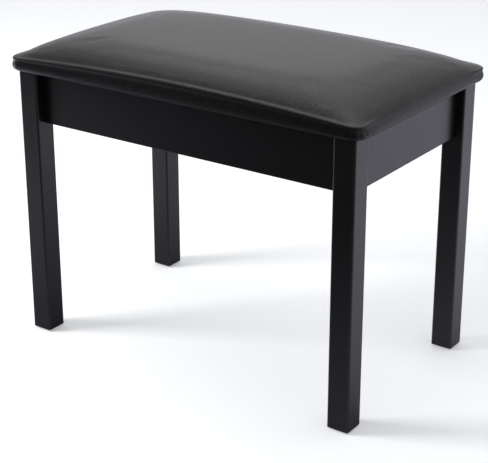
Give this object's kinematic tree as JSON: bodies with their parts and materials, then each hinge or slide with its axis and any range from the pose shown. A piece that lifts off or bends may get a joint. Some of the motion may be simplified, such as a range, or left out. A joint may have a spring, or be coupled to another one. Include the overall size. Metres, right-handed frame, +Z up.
{
  "type": "piano bench",
  "caption": "Low rectangular bench with a domed vinyl padded seat, straight square legs and recessed aprons, all black.",
  "frame": {"origin": "on the floor, under the middle of the seat", "axes": "+X along the seat's length, +Y to its back, +Z up"},
  "size_m": [0.628, 0.376, 0.4903],
  "materials": {
    "seat_vinyl": "grained vinyl, satin",
    "foam": "open-cell foam",
    "board_wood": "raw board",
    "dust_cloth": "non-woven cloth",
    "black_paint": "satin black paint on wood",
    "block_wood": "raw wood",
    "zinc_steel": "zinc plated",
    "glide_plastic": "moulded plastic"
  },
  "bodies": {
    "root": {"seat_cover": "seat_vinyl", "seat_foam": "foam", "seat_board": "board_wood", "dust_cover": "dust_cloth", "apron_front": "black_paint", "apron_back": "black_paint", "apron_left": "black_paint", "apron_right": "black_paint", "leg_fl": "black_paint", "corner_block_fl": "block_wood", "leg_bolt_fl": "zinc_steel", "leg_washer_fl": "zinc_steel", "leg_nut_fl": "zinc_steel", "block_screw_long_fl": "zinc_steel", "block_screw_short_fl": "zinc_steel", "seat_screw_fl": "zinc_steel", "glide_fl": "glide_plastic", "glide_screw_fl": "zinc_steel", "leg_fr": "black_paint", "corner_block_fr": "block_wood", "leg_bolt_fr": "zinc_steel", "leg_washer_fr": "zinc_steel", "leg_nut_fr": "zinc_steel", "block_screw_long_fr": "zinc_steel", "block_screw_short_fr": "zinc_steel", "seat_screw_fr": "zinc_steel", "glide_fr": "glide_plastic", "glide_screw_fr": "zinc_steel", "leg_bl": "black_paint", "corner_block_bl": "block_wood", "leg_bolt_bl": "zinc_steel", "leg_washer_bl": "zinc_steel", "leg_nut_bl": "zinc_steel", "block_screw_long_bl": "zinc_steel", "block_screw_short_bl": "zinc_steel", "seat_screw_bl": "zinc_steel", "glide_bl": "glide_plastic", "glide_screw_bl": "zinc_steel", "leg_br": "black_paint", "corner_block_br": "block_wood", "leg_bolt_br": "zinc_steel", "leg_washer_br": "zinc_steel", "leg_nut_br": "zinc_steel", "block_screw_long_br": "zinc_steel", "block_screw_short_br": "zinc_steel", "seat_screw_br": "zinc_steel", "glide_br": "glide_plastic", "glide_screw_br": "zinc_steel"}
  },
  "joints": []
}
